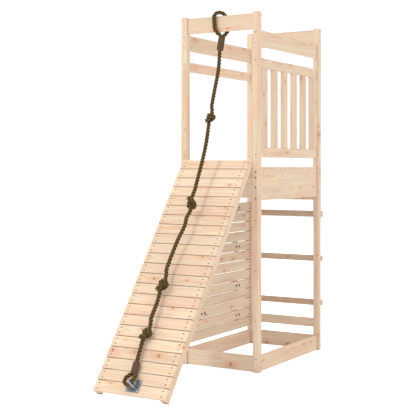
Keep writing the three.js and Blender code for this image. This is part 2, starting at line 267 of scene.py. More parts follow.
def pine_patterns(tree):
    """Where a piece of pine shows what, from 0 to 1 each."""
    place, strip_luck, glue = own_wood(tree)
    inputs = {"Vector": stretched(tree, place, (5, 5, 1.3)), "Scale": 1.0}
    slow = make(tree, "ShaderNodeTexNoise", inputs).outputs["Color"]
    sway = stretched(tree, added(tree, slow, (0.5, 0.5, 0.5), "SUBTRACT"), (0.035, 0.035, 0))
    warped = added(tree, place, sway)
    part = apart(tree, warped)
    radius = length_of(tree, stretched(tree, warped, (1, 1, 0)))
    angle = maths(tree, "ARCTAN2", part[0], part[1])
    ratio, halo, core, rim = knots_in(tree, warped, angle, 7.4, 0.30, 0.0034, 0.0048)
    _, pin_halo, pin_core, _ = knots_in(tree, warped, angle, 17.0, 0.16, 0.0012, 0.0016)
    cone = times(tree, part[2], 0.012)
    late, bands = year_rings(tree, plus(tree, plus(tree, radius, cone), times(tree, halo, 0.010)))
    return SimpleNamespace(
        strip_luck=strip_luck, glue=glue, ratio=ratio, halo=halo, core=core, rim=rim,
        pin_halo=pin_halo, pin_core=pin_core, late=late, bands=bands,
        fibre=noise_at(tree, stretched(tree, warped, (520, 520, 9)), 1.0, 3.0, 0.6),
        streak=noise_at(tree, stretched(tree, warped, (85, 85, 1.6)), 1.0, 2.5),
        patch=noise_at(tree, stretched(tree, place, (14, 14, 2.2)), 1.0),
        resin=noise_at(tree, stretched(tree, warped, (30, 30, 4.0)), 1.0),
    )


def pine_colour(tree, seen):
    """The wood's colour from its patterns and its piece's tone. It paints shade into crevices, and on some
    pieces the tone is painted shade or light.
    """
    tone = apart(tree, own_value(tree, "grain_tone"))
    knot_rings = maths(tree, "FRACT", times(tree, seen.ratio, 3.5))
    wood = layered(tree, blended(tree, tone[0], PALE, CREAM), [
        (smooth_between(tree, seen.patch, 0.40, 0.70), tone[1], PINK),
        (smooth_between(tree, seen.streak, 0.48, 0.66), 0.66, PINK),
        (smooth_between(tree, seen.resin, 0.52, 0.72), 0.60, YELLOW),
        (smooth_between(tree, seen.bands, 0.50, 0.80), 0.34, LATE),
        (seen.late, 0.72, LATE),
        (seen.halo, 0.62, KNOT_HALO),
        (seen.pin_halo, 0.30, KNOT_HALO),
        (seen.rim, 0.75, KNOT),
        (seen.core, 1.0, blended(tree, knot_rings, *KNOT_HEART)),
        (seen.pin_core, 0.85, KNOT),
        (seen.glue, 0.30, LATE),
    ])
    shade = plus(tree, times(tree, seen.fibre, 0.14), 0.86)
    shade = times(tree, plus(tree, shade, times(tree, seen.streak, 0.15)), tone[2])
    shade = times(tree, shade, plus(tree, times(tree, seen.strip_luck, 0.07), 0.965))
    wood = blended(tree, 1.0, wood, joined(tree, shade, shade, shade), "MULTIPLY")
    # Painted shade: where ambient occlusion finds the wood closed in, it is darkened towards the crevice
    # colour.
    open_sky = make(tree, "ShaderNodeAmbientOcclusion", {"Distance": 0.018}, samples=6).outputs["AO"]
    return layered(tree, wood, [(smooth_between(tree, open_sky, 0.85, 0.10), 0.80, PAINTED_CREVICE_SHADE)])


def pine():
    """Sawn pine. Rings grow round a pith that runs along the local Z of each piece, and knots grow
    outwards from it. Every piece brings its own turn, shift, pith and tone as custom properties. On some
    pieces the tone's brightness is painted shade or light, and crevices get painted shade."""
    material, tree, shader = new_material("pine", PALE[:3], 0.6)
    seen = pine_patterns(tree)
    camera_ray = make(tree, "ShaderNodeLightPath").outputs["Is Camera Ray"]
    colour = blended(tree, camera_ray, BOUNCE, pine_colour(tree, seen))
    tree.links.new(colour, shader.inputs["Base Color"])
    rough = plus(tree, times(tree, seen.fibre, 0.25), 0.45)
    tree.links.new(minus(tree, rough, times(tree, seen.late, 0.08)), shader.inputs["Roughness"])
    shader.inputs["Specular IOR Level"].default_value = 0.35
    height = plus(tree, times(tree, seen.late, 0.6), times(tree, seen.fibre, 0.5))
    add_bump(tree, shader, plus(tree, height, times(tree, seen.core, -0.4)), 0.35, 0.0006)
    return material


PINE = pine()


def give_grain(piece, centre, along, thin, bright=1.0, pinkness=None, strip=NO_STRIPS):
    """Lays the rings: the pith runs along the piece, some way behind its wide face."""
    wide = thin.cross(along)
    turn = Matrix((wide, thin, along))
    deep = chance.uniform(0.030, 0.070)
    aside = chance.uniform(-0.028, 0.028)
    piece["grain_turn"] = list(turn.to_euler("XYZ"))
    piece["grain_shift"] = list(-(turn @ centre))
    piece["grain_pith"] = [aside, deep, chance.uniform(0, 40)]
    piece["grain_strip"] = strip
    pink = chance.uniform(0.0, 1.0) if pinkness is None else pinkness
    # the third value is the piece's brightness: random, and on some pieces also painted shade or light
    piece["grain_tone"] = [chance.random(), pink, bright * chance.uniform(0.955, 1.03)]
    piece.data.materials.clear()
    piece.data.materials.append(PINE)


# ---- Meshes ----


def add_piece(name, mesh, material, replaces=(), body="frame"):
    """Adds a visible piece, attached to its body if it is given one."""
    piece = bpy.data.objects.new(name, mesh)
    bpy.context.scene.collection.objects.link(piece)
    mesh.materials.append(material)
    if body:
        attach(piece, body)
    if replaces:
        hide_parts(*replaces)
    return piece


def finish_mesh(name, bm, sharp=None):
    """The mesh of a bmesh. With an angle, in degrees, it is smooth apart from edges sharper than that."""
    mesh = bpy.data.meshes.new(name)
    bm.to_mesh(mesh)
    bm.free()
    if sharp:
        mesh.shade_smooth()
        mesh.set_sharp_from_angle(angle=math.radians(sharp))
    return mesh


def join_rings(bm, rings, smooth=False):
    """Faces from each ring of points to the next, row by row, then a cap on both ends."""
    faces = []
    for lower, upper in zip(rings, rings[1:]):
        for k, corner in enumerate(lower):
            after = (k + 1) % len(lower)
            face = bm.faces.new((corner, lower[after], upper[after], upper[k]))
            face.smooth = smooth
            faces.append(face)
    bm.faces.new(rings[0][::-1])
    bm.faces.new(rings[-1])
    return faces


def box_mesh(low, high, edge=EDGE):
    """A board with softened edges."""
    bm = bmesh.new()
    size = Vector(high) - Vector(low)
    middle = (Vector(high) + Vector(low)) / 2
    bmesh.ops.create_cube(bm, size=1, matrix=Matrix.Translation(middle) @ Matrix.Diagonal((*size, 1)))
    bmesh.ops.bevel(bm, geom=bm.edges[:], offset=edge, segments=2, profile=0.6, affect="EDGES")
    return finish_mesh("board", bm, 35)


def drill(mesh, holes, sides=16):
    """Cuts blind round holes: each is (point on the face, outward normal, radius, depth)."""
    bm = bmesh.new()
    for point, normal, radius, depth in holes:
        turn = Vector(normal).to_track_quat("Z", "Y").to_matrix().to_4x4()
        middle = Matrix.Translation(Vector(point) - Vector(normal) * (depth / 2 - 0.001)) @ turn
        bmesh.ops.create_cone(bm, cap_ends=True, segments=sides, radius1=radius, radius2=radius,
                              depth=depth + 0.002, matrix=middle)
    cutter = bpy.data.objects.new("cutter", finish_mesh("cutter", bm))
    blank = bpy.data.objects.new("blank", mesh)
    for helper in (cutter, blank):
        bpy.context.scene.collection.objects.link(helper)
    cut = blank.modifiers.new("holes", "BOOLEAN")
    cut.operation = "DIFFERENCE"
    cut.object = cutter
    cut.solver = "EXACT"
    drilled = bpy.data.meshes.new_from_object(blank.evaluated_get(bpy.context.evaluated_depsgraph_get()))
    for helper in (cutter, blank):
        bpy.data.objects.remove(helper)
    return drilled


ROUND, HEX, CROSS = "round", "hex", "cross"
HEAD_SIDES = 24


def outline(shape, radius, turn):
    """Radius of a head's ring at an angle."""
    if shape == HEX:
        sector = math.pi / 3
        return radius * math.cos(sector / 2) / math.cos((turn + sector / 2) % sector - sector / 2)
    if shape == CROSS:
        return radius * (0.42 + 0.58 * abs(math.cos(2 * turn)) ** 3)
    return radius


def add_head(bm, rings, point, normal, spin=0.0):
    """A turned head made of rings (radius, height, shape), closed at both ends."""
    normal = Vector(normal)
    place = Matrix.Translation(Vector(point)) @ normal.to_track_quat("Z", "Y").to_matrix().to_4x4()
    place = place @ Matrix.Rotation(spin, 4, "Z")
    loops = []
    for radius, height, shape in rings:
        turns = [2 * math.pi * k / HEAD_SIDES for k in range(HEAD_SIDES)]
        sizes = [outline(shape, radius, turn) for turn in turns]
        loops.append([bm.verts.new(place @ Vector((size * math.cos(turn), size * math.sin(turn), height)))
                      for size, turn in zip(sizes, turns)])
    join_rings(bm, loops)


def heads_mesh(name, rings, places):
    bm = bmesh.new()
    for point, normal in places:
        add_head(bm, rings, point, normal, chance.uniform(0, math.pi))
    return finish_mesh(name, bm, 40)


def add_heads(name, rings, places, material):
    """Many equal fastener heads as one piece: each place is (point, outward normal)."""
    add_piece(name, heads_mesh(name, rings, places), material)


SCREW_HEAD = [(0.0012, -0.004, ROUND), (0.0016, -0.0022, ROUND), (0.0034, -0.0004, ROUND),
              (0.0034, -0.0001, ROUND), (0.0031, 0.0001, ROUND), (0.0021, 0.0001, CROSS),
              (0.0016, -0.0012, CROSS)]
BOLT_HEAD = [(0.0042, -0.004, ROUND), (0.0044, -0.0008, ROUND), (0.0040, -0.0002, ROUND),
             (0.0026, -0.0002, HEX), (0.0025, -0.0022, HEX)]
BARREL_NUT = [(0.0048, -0.006, ROUND), (0.0048, 0.0001, ROUND), (0.0043, 0.0004, ROUND),
              (0.0016, 0.0004, CROSS), (0.0014, -0.0008, CROSS)]
DOME_HEAD = [(0.0058, -0.0005, ROUND), (0.0064, 0.0004, ROUND), (0.0062, 0.0014, ROUND),
             (0.0050, 0.0029, ROUND), (0.0034, 0.0037, ROUND), (0.0027, 0.0038, CROSS),
             (0.0020, 0.0022, CROSS)]
STONE_NUT = [(0.0068, -0.0005, ROUND), (0.0076, 0.0005, ROUND), (0.0073, 0.0017, ROUND),
             (0.0059, 0.0034, ROUND), (0.0040, 0.0043, ROUND), (0.0027, 0.0044, CROSS),
             (0.0020, 0.0024, CROSS)]
CARRIAGE_HEAD = [(0.0070, 0.0, ROUND), (0.0070, 0.0006, ROUND), (0.0062, 0.0018, ROUND),
                 (0.0042, 0.0030, ROUND), (0.0016, 0.0035, ROUND)]

# ---- Other materials ----


def zinc(name="zinc", base=(0.50, 0.54, 0.58), roughness=0.34):
    """Galvanised steel: faint spangle, small scratches."""
    material, tree, shader = new_material(name, base, roughness, 1.0)
    place = object_place(tree)
    spangle = make(tree, "ShaderNodeTexVoronoi", {"Vector": place, "Scale": 240.0})
    shine = make(tree, "ShaderNodeSeparateColor", {0: spangle.outputs["Color"]}).outputs[0]
    cloudy = noise_at(tree, place, 60.0, 3.0)
    dark = tuple(channel * 0.72 for channel in base)
    share = times(tree, plus(tree, shine, cloudy), 0.5)
    tree.links.new(blended(tree, share, (*dark, 1), (*base, 1)), shader.inputs["Base Color"])
    rough = plus(tree, times(tree, cloudy, 0.3), roughness - 0.1)
    tree.links.new(rough, shader.inputs["Roughness"])
    scratch = noise_at(tree, stretched(tree, place, (90, 900, 400)), 1.0, 3.0)
    add_bump(tree, shader, scratch, 0.08, 0.0004)
    return material


YARN_DARK = (0.10, 0.052, 0.016, 1)
YARN_LIGHT = (0.33, 0.205, 0.080, 1)
YARN_WORN = (0.20, 0.135, 0.055, 1)
# painted shade in the grooves between yarns and the valleys between strands
YARN_GROOVE_SHADE = (0.06, 0.032, 0.010, 1)
STRAND_VALLEY_SHADE = (0.020, 0.010, 0.003, 1)


def hemp():
    """Rope yarn, with painted shade in the grooves between its yarns and the valleys between its strands. UV
    runs round a strand in U, from its outermost line, and along it, in metres, in V.
    """
    material, tree, shader = new_material("hemp", (0.16, 0.10, 0.04), 0.9)
    texture = make(tree, "ShaderNodeTexCoord").outputs
    part = apart(tree, texture["UV"])
    slant = plus(tree, times(tree, part[0], 5.0), times(tree, part[1], 55.0))
    yarn = maths(tree, "ABSOLUTE", minus(tree, maths(tree, "FRACT", slant), 0.5))
    place = joined(tree, times(tree, slant, 9.0), times(tree, part[1], 60.0))
    hairs = noise_at(tree, place, 1.0, 4.0, 0.65)
    cloudy = noise_at(tree, texture["Object"], 38.0, 2.0)
    groove = smooth_between(tree, yarn, 0.50, 0.32)
    inward = maths(tree, "ABSOLUTE", minus(tree, part[0], 0.5))
    fibre = blended(tree, smooth_between(tree, hairs, 0.28, 0.70), YARN_DARK, YARN_LIGHT)
    fibre = layered(tree, fibre, [
        (smooth_between(tree, cloudy, 0.35, 0.75), 1.0, YARN_WORN),
        # painted shade: the grooves between yarns and the valleys between strands are darkened
        (minus(tree, 1.0, groove), 1.0, YARN_GROOVE_SHADE),
        (smooth_between(tree, inward, 0.38, 0.15), 0.95, STRAND_VALLEY_SHADE),
    ])
    tree.links.new(fibre, shader.inputs["Base Color"])
    shader.inputs["Specular IOR Level"].default_value = 0.2
    shader.inputs["Sheen Weight"].default_value = 0.15
    shader.inputs["Sheen Tint"].default_value = (0.5, 0.36, 0.2, 1)
    height = plus(tree, times(tree, groove, 0.8), times(tree, hairs, 0.6))
    add_bump(tree, shader, height, 0.8, 0.0012)
    return material


def sleeve_tape():
    """Matt brown shrink sleeve with a faint cloth texture."""
    material, tree, shader = new_material("sleeve_tape", (0.14, 0.085, 0.035), 0.65)
    place = object_place(tree)
    cloudy = noise_at(tree, place, 45.0, 4.0, 0.6)
    skin = blended(tree, smooth_between(tree, cloudy, 0.3, 0.7), (0.090, 0.046, 0.015, 1),
                   (0.135, 0.073, 0.026, 1))
    inputs = {"Vector": place, "Scale": 320.0}
    threads = [make(tree, "ShaderNodeTexWave", inputs, bands_direction=way).outputs["Fac"] for way in "XZ"]
    weave = times(tree, *threads)
    skin = blended(tree, times(tree, weave, 0.25), skin, (0.05, 0.03, 0.012, 1))
    tree.links.new(skin, shader.inputs["Base Color"])
    add_bump(tree, shader, plus(tree, weave, cloudy), 0.3, 0.0004)
    return material


def stone_plastic(name, base):
    """Cast climbing stone: grainy, slightly mottled."""
    material, tree, shader = new_material(name, base, 0.7)
    place = object_place(tree)
    mottle = noise_at(tree, place, 35.0, 4.0)
    grit = noise_at(tree, place, 900.0, 2.0)
    dark = tuple(channel * 0.6 for channel in base)
    body = blended(tree, smooth_between(tree, mottle, 0.3, 0.75), (*dark, 1), (*base, 1))
    body = blended(tree, times(tree, smooth_between(tree, grit, 0.55, 0.7), 0.25), body,
                   (*[min(1, channel * 1.8 + 0.05) for channel in base], 1))
    tree.links.new(body, shader.inputs["Base Color"])
    add_bump(tree, shader, plus(tree, grit, times(tree, mottle, 0.8)), 0.5, 0.0007)
    return material


ZINC = zinc()
BRIGHT_ZINC = zinc("bright_zinc", (0.66, 0.72, 0.80), 0.30)
DARK_ZINC = zinc("dark_zinc", (0.17, 0.20, 0.25), 0.45)
PLATE_ZINC = zinc("plate_zinc", (0.37, 0.40, 0.43), 0.5)
HEMP = hemp()
TAPE = sleeve_tape()

# ---- Wood that keeps its CAD shape ----


def along_and_thin(low, high):
    size = high - low
    order = sorted(range(3), key=lambda k: size[k])
    axes = (X, Y, Z)
    return axes[order[2]], axes[order[0]]


def soften(piece):
    """Rounds a CAD board's sawn edges without touching its mesh."""
    weld = piece.modifiers.new("weld", "WELD")
    weld.merge_threshold = 0.00001
    bevel = piece.modifiers.new("edges", "BEVEL")
    bevel.width = EDGE
    bevel.segments = 2
    bevel.limit_method = "ANGLE"
    bevel.angle_limit = math.radians(40)
    bevel.harden_normals = True


def dress_board(name, bright=1.0, pinkness=None):
    """A plain board; one wider than a sawn board is glued from strips."""
    piece = nodes[name]
    low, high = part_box(name)
    along, thin = along_and_thin(low, high)
    width = sorted(high - low)[1]
    strip = width / round(width / STRIP) if width > WIDEST_SAWN else NO_STRIPS
    give_grain(piece, (low + high) / 2, along, thin, bright, pinkness, strip)
    soften(piece)


def dress_stringers():
    for side in ("left", "right"):
        piece = nodes[f"ramp_stringer_{side}"]
        low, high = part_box(piece.name)
        give_grain(piece, (low + high) / 2, UP_SLOPE, X)
        soften(piece)


PLAIN_BOARDS = [
    "beam_front_top", "beam_back_top", "panel_front", "panel_left", "panel_right", "board_back_upper",
    "board_back_lower", "rail_back_low", "board_front_bottom", "board_back_bottom", "board_left_top",
    "board_right_top", "board_left_bottom", "board_right_bottom", "rail_left_guard",
    "balustrade_rail_top", "balustrade_rail_bottom", "wall_batten_front", "wall_batten_back",
]

# Painted light and shade: the front bottom board is darker for the shade of the ramp over it, the right
# panel darker and the left bottom board lighter for how the light falls on them.
PAINTED_LIGHT_TONES = {"panel_right": 0.96, "board_front_bottom": 0.93, "board_left_bottom": 1.05}

for board in PLAIN_BOARDS:
    dress_board(board, PAINTED_LIGHT_TONES.get(board, 1.0))
# The balustrade slats are painted a little darker: painted shade.
for number in range(1, 7):
    dress_board(f"balustrade_slat_{number}", bright=0.95, pinkness=0.5)
# The rungs are painted darker and pinker: painted shade of the tower round them.
for number in range(1, 4):
    dress_board(f"ladder_rung_{number}", bright=0.76, pinkness=0.9)
dress_stringers()

# ---- Posts, with bolts in drilled holes ----

BOLT_HOLE = (0.0052, 0.0035)     # radius and depth of a bolt's counterbore
BOLT_SUNK = 0.0003
EMPTY_HOLE = (0.0032, 0.010)
POST_EDGE = 0.0022
FRONT_BOLTS = [1.9625, 1.900, 1.802]
FRONT_DARK_BOLTS = [1.157, 1.124, 1.0677, 1.0034]
FRONT_EMPTY = [1.2555, 0.877, 0.587, 0.296]
FRONT_FOOT_BOLTS = [0.0776, 0.020]
SIDE_BOLTS = [2.062, 1.9975, 1.172, 1.141, 1.0805, 1.017, 0.0594, 0.0277]
BACK_BOLTS = [1.9625, 1.900, 1.802, 1.172, 1.141, 1.017, 0.985, 0.190, 0.159, 0.0776, 0.020]
BACK_EMPTY = [1.8025, 1.2555]


def face_centre(name, normal):
    low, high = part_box(name)
    return Vector([(low[k] + high[k]) / 2 + normal[k] * (high[k] - low[k]) / 2 for k in range(3)])


def spots_on(post, normal, heights):
    """Points down the middle of one face of a post."""
    face = face_centre(post, normal)
    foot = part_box(post)[0].z
    return [(Vector((face.x, face.y, foot + height)), normal) for height in heights]


def post_spots(post, end, facing, outward):
    """Where a post has bright bolts, dark bolts and empty holes."""
    sides = spots_on(post, outward, SIDE_BOLTS)
    if end == "back":
        return spots_on(post, facing, BACK_BOLTS) + sides, [], spots_on(post, -facing, BACK_EMPTY)
    bright = spots_on(post, facing, FRONT_BOLTS + FRONT_FOOT_BOLTS)
    return bright + sides, spots_on(post, facing, FRONT_DARK_BOLTS), spots_on(post, facing, FRONT_EMPTY)


def build_posts():
    bolts, dark_bolts = [], []
    for side, outward in (("left", -X), ("right", X)):
        for end, facing in (("front", -Y), ("back", Y)):
            post = f"post_{end}_{side}"
            bright, dark, empty = post_spots(post, end, facing, outward)
            holes = [(*spot, *BOLT_HOLE) for spot in bright + dark]
            holes += [(*spot, *EMPTY_HOLE) for spot in empty]
            low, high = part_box(post)
            mesh = drill(box_mesh(low, high, POST_EDGE), holes)
            piece = add_piece(f"{post}_drilled", mesh, PINE, [post])
            give_grain(piece, (low + high) / 2, Z, Y)
            bolts += bright
            dark_bolts += dark
    for name, places, material in (("post_bolts", bolts, BRIGHT_ZINC),
                                   ("post_bolts_ramp", dark_bolts, DARK_ZINC)):
        sunk = [(point - normal * BOLT_SUNK, normal) for point, normal in places]
        add_heads(name, BOLT_HEAD, sunk, material)


build_posts()

# ---- Barrel nuts in the boards' inner faces ----


NUT_INSET = 0.032          # from a board's end
NUT_ROWS = [               # board, rows of nuts, and the way its inner face looks
    ("board_left_top", 2, X), ("rail_left_guard", 1, X), ("board_right_top", 2, -X),
    ("panel_left", 2, X), ("panel_right", 2, -X), ("board_left_bottom", 1, X),
    ("board_right_bottom", 1, -X), ("balustrade_rail_top", 1, -X), ("balustrade_rail_bottom", 1, -X),
    ("rail_back_low", 2, -Y), ("beam_front_top", 2, Y), ("board_front_bottom", 1, Y),
    ("board_back_bottom", 1, -Y), ("board_back_lower", 1, -Y), ("board_back_upper", 1, -Y),
]


def barrel_nuts():
    spots = []
    for name, rows, normal in NUT_ROWS:
        low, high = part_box(name)
        face = face_centre(name, normal)
        along = Y if normal.x else X
        reach = (high - low).dot(along) / 2 - NUT_INSET
        for way in (-1, 1):
            for row in range(rows):
                point = face + along * way * reach
                point.z = low.z + (high.z - low.z) * (row + 0.5) / rows
                spots.append((point, normal))
    add_heads("barrel_nuts", BARREL_NUT, spots, ZINC)


barrel_nuts()

# ---- Planks of the ramp, the deck and the wall ----

SCREW_HOLE = (0.0040, 0.0022)


SCREW_SUNK = 0.0004


def screwed_plank(name, low, high, place, spots, normal, along, bright, stands_for):
    """A plank with countersunk screws. Spots are in the plank's own frame; returns them in the row's."""
    turn = place.to_3x3()
    holes = [(spot, normal, *SCREW_HOLE) for spot in spots]
    mesh = drill(box_mesh(low, high), holes, 12)
    mesh.transform(place)
    piece = add_piece(name, mesh, PINE, stands_for)
    give_grain(piece, place @ ((low + high) / 2), turn @ along, turn @ normal, bright)
    facing = turn @ normal
    return [(place @ spot - facing * SCREW_SUNK, facing) for spot in spots]


def plank_row(kind, names, count, step, low, high, spots, normal, along, place=Matrix.Identity(4),
              tones=(1.0, 1.0)):
    """Equal planks, each a step on from the last. Tones are the brightness of the first and the last."""
    screws = []
    for row in range(count):
        shift = step * row
        bright = tones[0] + (tones[1] - tones[0]) * row / (count - 1)
        stands_for = [f"{names}s"] if row == 0 else []
        screws += screwed_plank(f"{names}_{row + 1:02d}", low + shift, high + shift, place,
                                [spot + shift for spot in spots], normal, along, bright, stands_for)
    add_heads(f"{kind}_screws", SCREW_HEAD, screws, DARK_ZINC)


def build_ramp():
    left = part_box("ramp_planks")[0].x - CORNER.x
    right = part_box("ramp_planks")[1].x - CORNER.x
    low = Vector((left, 0, STRINGER_DEPTH + FIT))
    high = Vector((right, PLANK_WIDTH, RAMP_FACE))
    spots = [Vector((x, y, RAMP_FACE)) for x in (left + 0.027, right - 0.027) for y in (0.015, 0.045)]
    plank_row("ramp", "ramp_plank", RAMP_PLANKS, Y * RAMP_PITCH, low, high, spots, Z, X, RAMP, (1.04, 1.04))


def build_deck():
    low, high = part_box("deck_planks")
    start = Vector((low.x, low.y, high.z - PLANK))
    end = Vector((high.x, low.y + PLANK_WIDTH, high.z))
    spots = [Vector((x, low.y + step, high.z)) for x in (low.x + 0.0075, high.x - 0.0075)
             for step in (0.015, 0.045)]
    plank_row("deck", "deck_plank", DECK_PLANKS, Y * DECK_PITCH, start, end, spots, Z, X)


def build_wall():
    low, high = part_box("wall_slats")
    start = Vector((high.x - PLANK, low.y, low.z))
    end = Vector((high.x, high.y, low.z + PLANK_WIDTH))
    spots = [Vector((high.x, y, low.z + rise)) for y in (low.y + 0.020, high.y - 0.020)
             for rise in (0.018, 0.042)]
    # The wall's slats darken towards the top: painted shade of the deck over them.
    plank_row("wall", "wall_slat", WALL_SLATS, Z * WALL_PITCH, start, end, spots, X, Y, tones=(1.02, 0.88))


build_ramp()
build_deck()
build_wall()

# ---- Screws in the ramp's sides, bolts of the rungs and of the stones ----


def stringer_screws():
    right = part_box("ramp_stringer_right")[1].x
    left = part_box("ramp_stringer_left")[0].x
    places = []
    for k, along in enumerate((0.482, 0.576, 0.674, 0.802, 0.899, 0.996)):
        rise = 0.026 if k % 2 else 0.009
        for x, normal in ((right, X), (left, -X)):
            point = RAMP @ Vector((0, along, rise))
            places.append((Vector((x, point.y, point.z)), normal))
    rings = [(r * 0.85, h + 0.0002, s) for r, h, s in SCREW_HEAD]
    add_heads("stringer_screws", rings, places, DARK_ZINC)


def rung_bolts():
    for number in range(1, 4):
        for side in ("left", "right"):
            name = f"rung_bolt_{number}_{side}"
            low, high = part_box(name)
            middle = (low + high) / 2
            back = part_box(f"ladder_rung_{number}")[1].y + FIT
            bm = bmesh.new()
            add_head(bm, CARRIAGE_HEAD, (middle.x, back, middle.z), Y)
            shank = [(0.003, 0, ROUND), (0.003, back - low.y, ROUND)]
            add_head(bm, shank, (middle.x, low.y, middle.z), Y)
            add_piece(f"{name}_head", finish_mesh(name, bm, 40), ZINC, [name])


stringer_screws()
rung_bolts()

STONE_TONES = {
    "stone_red": (0.50, 0.07, 0.04), "stone_blue": (0.03, 0.15, 0.35),
    "stone_yellow": (0.70, 0.40, 0.02), "stone_green": (0.05, 0.25, 0.08),
}
STONE_BOLT = [(0.0075, -0.006, ROUND), (0.0075, 0.0, ROUND), (0.0066, 0.0012, ROUND), (0.0036, 0.0012, HEX),
              (0.0034, -0.003, HEX)]


def stone_mesh(radius, depth, seed):
    """A rounded grip: flat back, swollen rim, a finger scoop and a well for its bolt."""
    bm = bmesh.new()
    bmesh.ops.create_icosphere(bm, subdivisions=5, radius=1)
    lean = 0.10 + 0.08 * math.sin(seed * 2.1)
    for vert in bm.verts:
        out, side, rise = -vert.co.x, vert.co.y, vert.co.z
        out = max(out, 0.0)
        swell = 1 + 0.10 * math.sin(2 * math.atan2(rise, side) + seed) + 0.05 * math.sin(
            3 * math.atan2(rise, side) + 2.3 * seed)
        swell = min(swell, 1.10) / 1.12
        lump = 0.06 * noise.noise(Vector((out, side, rise)) * 1.7 + Vector((seed * 7.3, 0, 0)))
        height = out ** 0.75
        scoop = 0.30 * math.exp(-((side / 0.55) ** 2 + ((rise - 0.45) / 0.30) ** 2)) * height
        well = 0.25 * math.exp(-((side ** 2 + (rise + 0.05) ** 2) / 0.045)) * height
        level = max(0.0, height * (0.94 + lump) - scoop - well)
        vert.co = Vector((-depth * level, radius * side * swell * (1 + lump),
                          radius * (rise * swell * (1 + lump) - lean * level * 0.6)))
    for face in bm.faces:
        face.smooth = True
    return finish_mesh("stone", bm)


def build_stones():
    tones = {name: stone_plastic(name, base) for name, base in STONE_TONES.items()}
    slots = {part["node"]: part["material_slot"] for part in frame["record"]["subparts"]}
    heads, nuts = [], []
    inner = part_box("wall_slats")[1].x
    for number in range(1, 8):
        node = f"climbing_stone_{number}"
        low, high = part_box(node)
        centre = Vector((high.x, (low.y + high.y) / 2, (low.z + high.z) / 2))
        mesh = stone_mesh((high.y - low.y) / 2, high.x - low.x, number)
        mesh.transform(Matrix.Translation(centre))
        add_piece(f"{node}_grip", mesh, tones[slots[node]], [node])
        heads.append((Vector((low.x + 0.013, centre.y, centre.z - 0.004)), -X))
        for step in (-0.019, 0.019):
            nuts.append((Vector((inner, centre.y + step, centre.z)), X))
    add_heads("stone_bolts", STONE_BOLT, heads, ZINC)
    add_heads("stone_nuts", STONE_NUT, nuts, DARK_ZINC)


build_stones()

# ---- Rope ----

ROPE_RADIUS = 0.012
LAY = 0.062                # length over which a strand turns once
SQUEEZE = 0.72             # how far a tight knot presses its turns together
SLEEVE_REACH = 0.012       # how far the rope runs into its sleeves
KNOT_CORE = 4.0            # a knot's strands run back to its axis between these heights, which are in
KNOT_END = 9.5             # rope radii from its middle
TAIL = 0.10                # length of rope that turns with the sleeve at its end
ROPE_STEP = 0.0028         # between the rings of a strand
MM = 0.001


def tower_point(x, y, z):
    """Millimetres from the tower's outer front left corner."""
    return np.array([CORNER.x + x * MM, CORNER.y + y * MM, z * MM])


ROPE_X = 262


def over_ramp(height, out, side):
    """A point of the rope over the ramp: its height, distance out of the planks and side step, in mm."""
    foot = (RAMP_FOOT_Y - CORNER.y) / MM
    rise = height - (RAMP_FACE / MM + out) / math.cos(RAMP_ANGLE)
    return tower_point(ROPE_X + side, foot + rise / math.tan(RAMP_ANGLE), height)


def mixed(marks, first, last, t, a, b):
    """The straight mix of two points, by how far t has come from one mark to another."""
    share = (t - marks[first]) / (marks[last] - marks[first])
    return (1 - share) * a + share * b


def curve_through(points, spacing):
    """A centripetal Catmull-Rom curve, resampled evenly."""
    points = [np.array(p, float) for p in points]
    points = [2 * points[0] - points[1], *points, 2 * points[-1] - points[-2]]
    dense = []
    for p0, p1, p2, p3 in zip(points, points[1:], points[2:], points[3:]):
        gaps = [np.linalg.norm(b - a) ** 0.5 for a, b in ((p0, p1), (p1, p2), (p2, p3))]
        marks = np.cumsum([0] + gaps)
        t = np.linspace(marks[1], marks[2], 24, endpoint=False)[:, None]
        a1 = mixed(marks, 0, 1, t, p0, p1)
        a2 = mixed(marks, 1, 2, t, p1, p2)
        a3 = mixed(marks, 2, 3, t, p2, p3)
        b1 = mixed(marks, 0, 2, t, a1, a2)
        b2 = mixed(marks, 1, 3, t, a2, a3)
        dense.append(mixed(marks, 1, 2, t, b1, b2))
    return even_steps(np.vstack([*dense, points[-2][None]]), spacing)


def eased(share):
    """0 to 1 with a soft start and end."""
    share = np.clip(share, 0, 1)
    return share * share * (3 - 2 * share)


def lengths_along(path):
    return np.concatenate([[0], np.cumsum(np.linalg.norm(np.diff(path, axis=0), axis=1))])


def even_steps(path, spacing):
    along = lengths_along(path)
    count = max(2, int(round(along[-1] / spacing)) + 1)
    marks = np.linspace(0, along[-1], count)
    return np.stack([np.interp(marks, along, path[:, k]) for k in range(3)], axis=1)


